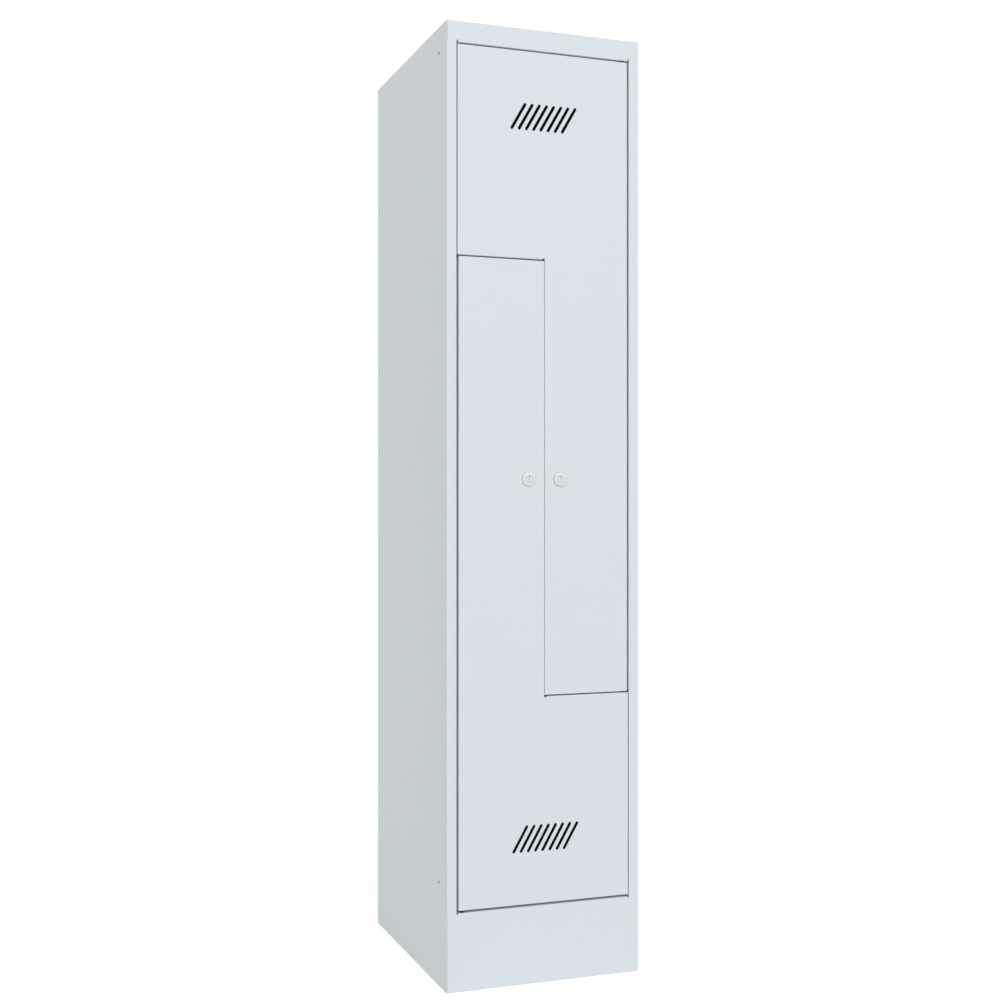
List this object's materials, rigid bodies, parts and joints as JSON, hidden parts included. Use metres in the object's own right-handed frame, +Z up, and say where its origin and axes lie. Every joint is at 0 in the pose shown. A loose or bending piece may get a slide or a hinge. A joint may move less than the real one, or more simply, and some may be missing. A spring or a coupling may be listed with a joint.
{
  "type": "z locker",
  "caption": "Tall narrow sheet-steel locker on a closed plinth, with interlocking L-shaped doors that make Z-shaped compartments, cam locks, vent slots, clothes rails and sliding hooks.",
  "frame": {"origin": "on the floor under the middle of the cabinet", "axes": "+Z up, front with the doors towards -Y, +X to the right as seen from the front"},
  "size_m": [0.4, 0.5033, 1.85],
  "materials": {
    "cabinet_paint": "light blue-grey powder coat, satin",
    "door_paint": "light blue-grey powder coat, satin",
    "zinc_plate": "bright zinc plating",
    "rail_chrome": "polished",
    "lock_nickel": "satin nickel plating",
    "black_zinc": "black zinc plating, satin",
    "black_nylon": "black nylon, matte",
    "grey_plastic": "moulded grey nylon, satin",
    "buffer_rubber": "moulded black rubber"
  },
  "bodies": {
    "cabinet": {"left_side_wall": "cabinet_paint", "right_side_wall": "cabinet_paint", "back_panel": "cabinet_paint", "roof_and_top_rail": "cabinet_paint", "plinth": "cabinet_paint", "floor_panel": "cabinet_paint", "upper_shelf": "cabinet_paint", "lower_shelf": "cabinet_paint", "partition": "cabinet_paint", "partition_stop_angle": "cabinet_paint", "lower_door_outer_pivot_pin": "black_zinc", "lower_door_middle_pivot_bracket": "black_zinc", "upper_door_outer_pivot_pin": "black_zinc", "upper_door_middle_pivot_bracket": "black_zinc", "upper_door_stile_buffer": "buffer_rubber", "upper_door_partition_buffer": "buffer_rubber", "lower_door_stile_buffer": "buffer_rubber", "lower_door_partition_buffer": "buffer_rubber", "upper_clothes_rail": "rail_chrome", "lower_clothes_rail": "rail_chrome", "upper_rail_left_socket": "grey_plastic", "upper_rail_right_socket": "grey_plastic", "lower_rail_left_socket": "grey_plastic", "lower_rail_right_socket": "grey_plastic"},
    "lower_door": {"lower_door_panel": "door_paint", "lower_door_long_stiffener": "door_paint", "lower_door_short_stiffener": "door_paint", "lower_door_outer_bush": "black_nylon", "lower_door_middle_bush": "black_nylon", "lower_door_lock_housing": "lock_nickel", "lower_door_lock_nut": "zinc_plate"},
    "upper_door": {"upper_door_panel": "door_paint", "upper_door_long_stiffener": "door_paint", "upper_door_short_stiffener": "door_paint", "upper_door_outer_bush": "black_nylon", "upper_door_middle_bush": "black_nylon", "upper_door_lock_housing": "lock_nickel", "upper_door_lock_nut": "zinc_plate"},
    "lower_door_lock": {"lower_door_lock_plug": "lock_nickel", "lower_door_lock_cam": "zinc_plate", "lower_door_cam_screw": "zinc_plate"},
    "upper_door_lock": {"upper_door_lock_plug": "lock_nickel", "upper_door_lock_cam": "zinc_plate", "upper_door_cam_screw": "zinc_plate"},
    "upper_left_hook": {"upper_rail_left_hook": "grey_plastic"},
    "upper_right_hook": {"upper_rail_right_hook": "grey_plastic"},
    "lower_left_hook": {"lower_rail_left_hook": "grey_plastic"},
    "lower_right_hook": {"lower_rail_right_hook": "grey_plastic"}
  },
  "joints": [
    {"name": "lower_door_hinge", "type": "hinge", "parent": "cabinet", "child": "lower_door", "pos_m": [-0.167, -0.244, 0.15], "axis": [0, 0, -1], "range_deg": [0, 110]},
    {"name": "upper_door_hinge", "type": "hinge", "parent": "cabinet", "child": "upper_door", "pos_m": [0.167, -0.244, 1.81], "axis": [0, 0, 1], "range_deg": [0, 110]},
    {"name": "lower_door_lock_turn", "type": "hinge", "parent": "lower_door", "child": "lower_door_lock", "pos_m": [-0.033, -0.25, 0.978], "axis": [0, -1, 0], "range_deg": [0, 90]},
    {"name": "upper_door_lock_turn", "type": "hinge", "parent": "upper_door", "child": "upper_door_lock", "pos_m": [0.033, -0.25, 0.978], "axis": [0, 1, 0], "range_deg": [0, 90]},
    {"name": "upper_left_hook_slide", "type": "slide", "parent": "cabinet", "child": "upper_left_hook", "axis": [1, 0, 0], "range_m": [-0.025, 0.025]},
    {"name": "upper_right_hook_slide", "type": "slide", "parent": "cabinet", "child": "upper_right_hook", "axis": [1, 0, 0], "range_m": [-0.025, 0.025]},
    {"name": "lower_left_hook_slide", "type": "slide", "parent": "cabinet", "child": "lower_left_hook", "axis": [1, 0, 0], "range_m": [-0.025, 0.025]},
    {"name": "lower_right_hook_slide", "type": "slide", "parent": "cabinet", "child": "lower_right_hook", "axis": [1, 0, 0], "range_m": [-0.025, 0.025]}
  ]
}
